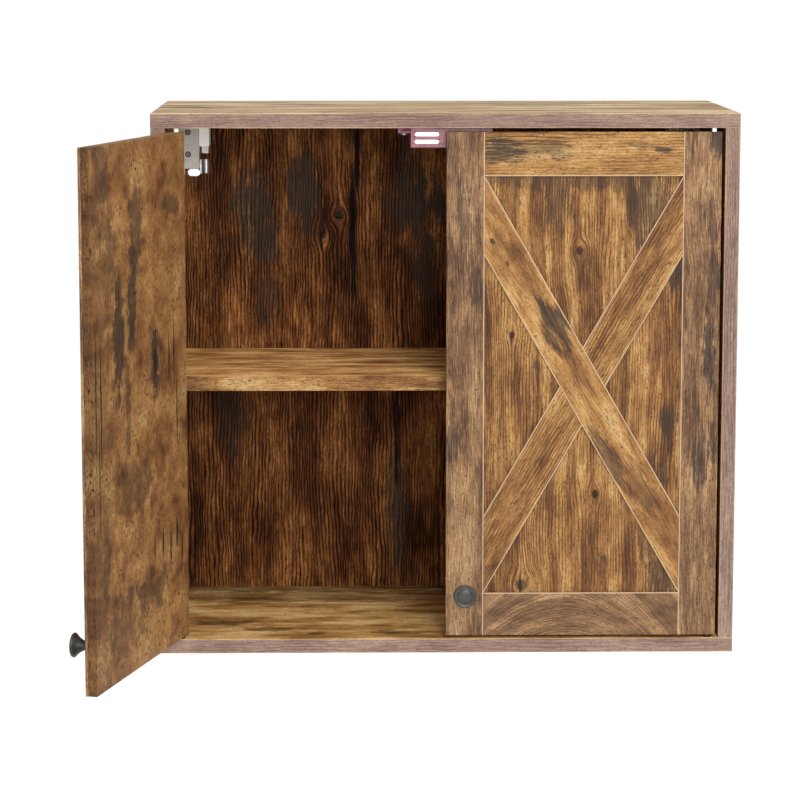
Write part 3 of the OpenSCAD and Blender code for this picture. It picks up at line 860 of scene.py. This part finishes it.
INNER_FACE = {
    **GOLDEN,
    "ramp": (
        (0.0, (66, 42, 28)), (0.25, (102, 66, 39)), (0.5, (146, 101, 61)),
        (0.75, (178, 132, 80)), (1.0, (204, 165, 112)),
    ),
}
print("marks on the left panel:", len(LOOKS_LEFT["door_panel"]["marks"]))

# %% Laying the doors' boards
for side, looks in (("right", LOOKS_RIGHT), ("left", LOOKS_LEFT)):
    for part, (along, edge, tones) in DOOR_BOARDS.items():
        if (part, side) == ("door_panel", "left"):
            tones = INNER_FACE
        place = door_place(part, along, side == "left")
        if edge and side == "left":
            edge = (-edge[0], *edge[1:])
        # the door panels' side edges get painted shade
        shade = (PANEL_HALF, PANEL_EDGE_PAINTED_SHADE) if part == "door_panel" else None
        finish = timber(
            f"{part}_timber_{side}", place, tones, edge=edge, painted_side_shade=shade, **looks[part]
        )
        slot = "door_board" if part == "door_panel" else "door_trim"
        eased(f"{part}_{side}", finish, radius=0.45 * MM)
print("door boards:", 2 * len(DOOR_BOARDS))

# %% [markdown]
# ## Metal and plastic finishes
# The fittings are small, so their finishes are quiet: plated steel is a little cloudy and finely
# scratched, mould-made plastic has a faint orange-peel skin, and the knobs' dark bronze clouds
# between two near-black tones. Each starts from noise on the object's own coordinates, so that it
# stays with the part at every pose. The hangers' adjusting screws are blackened, and a mask in the
# shape of a cross paints a highlight into their cross recess.

# %% Fitting finishes
def fitting_finish(name, dark, light, metallic, roughness, grain=(300, 300, 300), depth=0.00004):
    """A metal or plastic whose colour clouds between two tones over a fine grain."""
    material, start, shader = new_finish(name)
    point = start.node("ShaderNodeTexCoord", outlet="Object")
    cloud = point.noise((90, 90, 90), 3, 0.6)
    fine = point.noise(grain, 3, 0.6)
    tone = cloud + (fine - 0.5) * 0.8
    feed(
        shader,
        Base_Color=tone.ramp((0.3, tint(*dark)), (0.7, tint(*light))),
        Metallic=metallic,
        Roughness=roughness + (fine - 0.5) * 0.25,
        Normal=relief(fine, depth),
        Specular_IOR_Level=0.5,
    )
    return material


zinc_steel = fitting_finish("zinc_steel", (164, 157, 149), (180, 174, 166), 0.15, 0.45, (900, 900, 120))
bright_steel = fitting_finish("bright_steel", (132, 130, 127), (172, 170, 166), 0.8, 0.33, (150, 900, 900))
grey_steel = fitting_finish("grey_steel", (120, 116, 112), (160, 156, 150), 0.7, 0.38, (700, 700, 700))
pole_steel = fitting_finish("pole_steel", (206, 204, 202), (232, 230, 228), 0.2, 0.4, (150, 900, 900))
black_steel = fitting_finish("black_steel", (22, 22, 22), (44, 42, 40), 0.4, 0.4)
black_plastic = fitting_finish("black_plastic", (20, 20, 20), (36, 35, 34), 0.0, 0.5)
white_nylon = fitting_finish("white_nylon", (236, 235, 231), (248, 248, 245), 0.0, 0.5)
catch_plastic = fitting_finish(
    "catch_plastic", (92, 44, 54), (128, 66, 80), 0.0, 0.45, (1200, 1200, 1200)
)
dark_bronze = fitting_finish(
    "dark_bronze", (36, 34, 31), (58, 56, 51), 0.45, 0.45, (420, 420, 420), 0.00008
)
dowel_wood = fitting_finish("dowel_wood", (166, 126, 82), (202, 164, 116), 0.0, 0.75, (600, 600, 60))

# %% Cross-headed screws
RECESS_R = 2.0
ARM_HALF = 0.5


def cross_headed(node):
    """Blackened screw with a painted highlight in its cross recess, between its arms."""
    material, start, shader = new_finish(node + "_steel")
    point = start.node("ShaderNodeTexCoord", outlet="Object").vector("SUBTRACT", tuple(middle(node)))
    x, _, z = point.parts()
    reach = point.vector("MULTIPLY", (1, 0, 1)).vector("LENGTH", outlet=1)
    rising, falling = (x + z).size(), (x - z).size()
    from_arm = rising.math("MINIMUM", rising, falling)
    # painted highlight: the recess's facets between the cross's arms are painted bright
    recess_highlight = reach.rise((RECESS_R + 0.2) * MM, (RECESS_R - 0.2) * MM)
    recess_highlight = recess_highlight * from_arm.rise((ARM_HALF - 0.2) * MM, (ARM_HALF + 0.2) * MM)
    fine = point.noise((700, 700, 700), 3, 0.6)
    black = fine.ramp((0.3, tint(24, 20, 18)), (0.7, tint(46, 40, 37)))
    feed(
        shader,
        Base_Color=black.blended(tint(198, 194, 190), recess_highlight * (0.7 + (fine - 0.5) * 0.6)),
        Roughness=0.55 + (fine - 0.5) * 0.25,
        Normal=relief(fine, 0.00003),
        Specular_IOR_Level=0.2,
    )
    return material


print("recess of a cross-headed screw:", 2 * RECESS_R, "mm across")

# %% [markdown]
# ## Turned knobs
# A knob is turned on a lathe: a thin neck that flares like a trumpet into a round rim, and a
# shallow dish in its face with a raised middle. Its outline is laid once as a chain of edges and
# spun round the knob's axis. The outline follows the CAD part's, with finer steps round the rim
# and in the dish.

# %% Knobs
KNOB_R = 12.0
KNOB_H = 20.0
NECK_R = 3.75
KNOB_STEPS = 64
KNOB_FROM_EDGE = 19.5
KNOB_RISE = 45.0
DOOR_FRONT = -0.285
FACE_FRONT = Matrix.Rotation(radians(90), 4, "X")


def spun(outline, steps):
    """A closed turned shape: outline is (radius, height) in millimetres, spun round +Z."""
    bm = bmesh.new()
    chain = [bm.verts.new((radius * MM, 0, height * MM)) for radius, height in outline]
    for first, second in zip(chain, chain[1:]):
        bm.edges.new((first, second))
    bmesh.ops.spin(
        bm, geom=bm.verts[:] + bm.edges[:], cent=(0, 0, 0), axis=(0, 0, 1),
        angle=2 * pi, steps=steps, use_merge=True,
    )
    bmesh.ops.remove_doubles(bm, verts=bm.verts, dist=WELD / 2)
    bmesh.ops.recalc_face_normals(bm, faces=bm.faces)
    return bm


def knob_outline():
    """The knob's outline as (radius, height), from its neck over the rim to the middle of its dish."""
    flare_steps, flare_height, flare_power = 12, KNOB_H - 3, 2.4
    flare = [
        (NECK_R + (KNOB_R - NECK_R) * (i / flare_steps) ** flare_power, flare_height * i / flare_steps)
        for i in range(flare_steps + 1)
    ]
    rim_round, rim_height = 1.2, KNOB_H - 2.2
    rim = [
        (KNOB_R - rim_round + rim_round * cos(radians(a)), rim_height + rim_round * sin(radians(a)))
        for a in range(0, 91, 15)
    ]
    boss_r = KNOB_R * 2 / 3
    dish = [
        (KNOB_R - 2.0, KNOB_H - 1.15), (KNOB_R - 2.6, KNOB_H - 1.6), (boss_r, KNOB_H - 1.5),
        (boss_r - 0.4, KNOB_H - 1.0), (boss_r - 0.9, KNOB_H - 0.6), (KNOB_R / 3, KNOB_H - 0.15),
        (0, KNOB_H),
    ]
    return [(0, 0)] + flare + rim + dish


knob_centre = Vector((door_low.x + KNOB_FROM_EDGE * MM, DOOR_FRONT, door_low.z + KNOB_RISE * MM))
for side in ("right", "left"):
    bm = spun(knob_outline(), KNOB_STEPS)
    place = Matrix.Translation(knob_centre) @ FACE_FRONT
    if side == "left":
        place = OPENED @ Matrix.Translation(mirrored(knob_centre)) @ FACE_FRONT
    bmesh.ops.transform(bm, matrix=place, verts=bm.verts)
    keep(f"turned_knob_{side}", bm, f"door_{side}", dark_bronze, [f"knob_{side}"], 50)
print("points in the knob's outline:", len(knob_outline()))

# %% [markdown]
# ## Pivot pins
# Each door turns on two pins let into its panel, and each pin turns in a flanged plastic bush.
# Pins are plain turned shapes with a small chamfer at both ends, which a spun outline gives. The
# bushes are true to shape in the CAD model, so they only get a finish further on.

# %% Pivot pins
PIN_R = 2.5
PIN_CHAMFER = 0.6
PIN_STEPS = 32
PIN_ENDS = (("top", white_nylon, "white_nylon"), ("bottom", black_plastic, "black_plastic"))
for side in ("right", "left"):
    for end, finish, slot in PIN_ENDS:
        node = f"pivot_pin_{end}_{side}"
        low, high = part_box(node)
        length = (high.z - low.z) / MM
        outline = [
            (0, 0), (PIN_R - PIN_CHAMFER, 0), (PIN_R, PIN_CHAMFER),
            (PIN_R, length - PIN_CHAMFER), (PIN_R - PIN_CHAMFER, length), (0, length),
        ]
        bm = spun(outline, PIN_STEPS)
        centre = (low + high) / 2
        bmesh.ops.translate(bm, verts=bm.verts, vec=(centre.x, centre.y, low.z))
        keep(f"turned_{node}", bm, f"door_{side}", finish, [node])
        print(node, "length", round(length, 2), "mm")

# %% [markdown]
# ## The magnetic catch
# A moulded housing screwed under the top panel holds two pairs of steel poles with a magnet
# between each pair. Seen from the front, each pole is a bar with round ends, so the four edges
# that run back into the housing are rounded until their arcs almost meet.

# %% Catch
eased("catch_housing", catch_plastic, radius=0.8 * MM, shortest=5 * MM)
POLE_ROUND = 1.9 * MM
STRAIGHT_BACK = 0.9
bm = merged_copy("catch_poles")
runs_back = [
    edge for edge in bm.edges
    if edge.is_convex
    and abs((edge.verts[0].co - edge.verts[1].co).y) > STRAIGHT_BACK * edge.calc_length()
]
bmesh.ops.bevel(
    bm, geom=runs_back, offset=POLE_ROUND, offset_type="OFFSET", segments=6, profile=0.5,
    affect="EDGES", material=-1, clamp_overlap=True,
)
catch_body = frame["nodes"]["catch_poles"]["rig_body"]
keep("catch_pole_bars", bm, catch_body, pole_steel, ["catch_poles"])
print("rounded pole edges:", len(runs_back))

# %% [markdown]
# ## Hangers and wall plates
# Pressed steel and nylon: a casing screwed to the side panel, a nylon guide, a hook that reaches
# through the back panel and the plate that it hangs on. Their shapes are right as they come from
# the CAD model, and a pressing's bends and a moulding's edges are rounded like the boards' were.
# The thin strike plates that the catch pulls on sit on the doors and are eased in the same way.

# %% Hanger parts
EASED_FITTINGS = {
    "hanger_casing": (zinc_steel, "zinc_steel", 0.7),
    "hanger_guide": (white_nylon, "white_nylon", 0.5),
    "hanger_hook": (bright_steel, "bright_steel", 0.4),
    "wall_plate": (zinc_steel, "zinc_steel", 0.4),
}
SHORTEST_BEND = 4 * MM
for part, (finish, slot, radius) in EASED_FITTINGS.items():
    for side in ("left", "right"):
        node = f"{part}_{side}"
        eased(node, finish, radius=radius * MM, shortest=SHORTEST_BEND, name=node + "_eased")
for side in ("left", "right"):
    eased(f"strike_plate_{side}", bright_steel, radius=0.3 * MM, shortest=SHORTEST_BEND)
print("hanger parts:", 2 * len(EASED_FITTINGS), "and two strike plates")

# %% [markdown]
# ## Fittings that keep their CAD shape
# Screws, cam locks, bolts, dowels, bushes and shelf pins are already true to shape, with their
# cross recesses cut, so those nodes stay and only get their finish.

# %% Finishes for the remaining nodes
REMAINING = {
    "cam_locks": grey_steel,
    "cam_bolts": bright_steel,
    "dowels": dowel_wood,
    "shelf_pins": bright_steel,
    "catch_magnets": black_steel,
    "catch_screws": grey_steel,
    "pivot_sockets_top": black_plastic,
    "pivot_sockets_bottom": black_plastic,
    "hanger_fixing_screws": bright_steel,
    "hanger_barrel": bright_steel,
    "knob_stud": bright_steel,
}
CROSS_HEADED = ("height_screw", "depth_screw")
for name, node in frame["nodes"].items():
    if node.hide_render:
        continue
    if name.startswith(CROSS_HEADED):
        finish = cross_headed(name)
    else:
        finish = next(finish for word, finish in REMAINING.items() if name.startswith(word))
    node.data.materials.clear()
    node.data.materials.append(finish)
    print(name, "->", finish.name)

# %% [markdown]
# ## Floor, light and camera
# The cabinet hangs, so nothing stands near it. A pale floor runs far behind and below it and
# fills the view. Soft light comes from all round. A large lamp above the camera and to its right
# gives the doors' boards their small shadows, and a second one beside the camera reaches into
# the open compartment. The camera has a long lens and looks slightly down.

# %% Floor
FLOOR_Z = -1.15
FLOOR_HALF = 160
FLOOR_BACK = 60
bm = bmesh.new()
bmesh.ops.create_grid(bm, x_segments=2, y_segments=2, size=FLOOR_HALF)
bmesh.ops.translate(bm, verts=bm.verts, vec=(0, FLOOR_BACK, FLOOR_Z))
floor_mesh = bpy.data.meshes.new("floor")
bm.to_mesh(floor_mesh)
bm.free()
floor = bpy.data.objects.new("floor", floor_mesh)
bpy.context.scene.collection.objects.link(floor)
paint, start, shader = new_finish("pale_floor")
feed(shader, Base_Color=(0.96, 0.96, 0.96, 1), Roughness=0.9, Specular_IOR_Level=0.1)
floor_mesh.materials.append(paint)
print("floor height:", FLOOR_Z, "m")

# %% Light
world = bpy.data.worlds.new("studio")
bpy.context.scene.world = world
world.use_nodes = True
world.node_tree.nodes["Background"].inputs["Color"].default_value = (1, 1, 1, 1)
world.node_tree.nodes["Background"].inputs["Strength"].default_value = 1.05


def softbox(name, place, aim, size, power):
    """A square soft lamp that looks at a point."""
    lamp = bpy.data.lights.new(name, "AREA")
    lamp.shape = "SQUARE"
    lamp.size = size
    lamp.energy = power
    holder = bpy.data.objects.new(name, lamp)
    holder.location = place
    holder.rotation_euler = (Vector(aim) - Vector(place)).to_track_quat("-Z", "Y").to_euler()
    bpy.context.scene.collection.objects.link(holder)


softbox("key_lamp", (0.7, -2.9, 1.9), (0, -0.2, -0.25), 1.3, 60)
softbox("front_lamp", (0.35, -3.3, 0.45), (0, -0.2, -0.2), 1.0, 60)
print("lamps:", [lamp.name for lamp in bpy.data.lights])

# %% Camera
lens = bpy.data.cameras.new("camera")
lens.lens = 133.45
lens.sensor_width = 36
lens.clip_end = 500
camera = bpy.data.objects.new("camera", lens)
camera.location = (-0.0927, -3.3034, 0.2034)
camera.rotation_euler = (radians(81.665), 0, -0.0153)
bpy.context.scene.collection.objects.link(camera)
bpy.context.scene.camera = camera
bpy.context.scene.view_settings.view_transform = "Standard"
print("camera", round(hypot(*camera.location), 2), "m from the frame's origin")
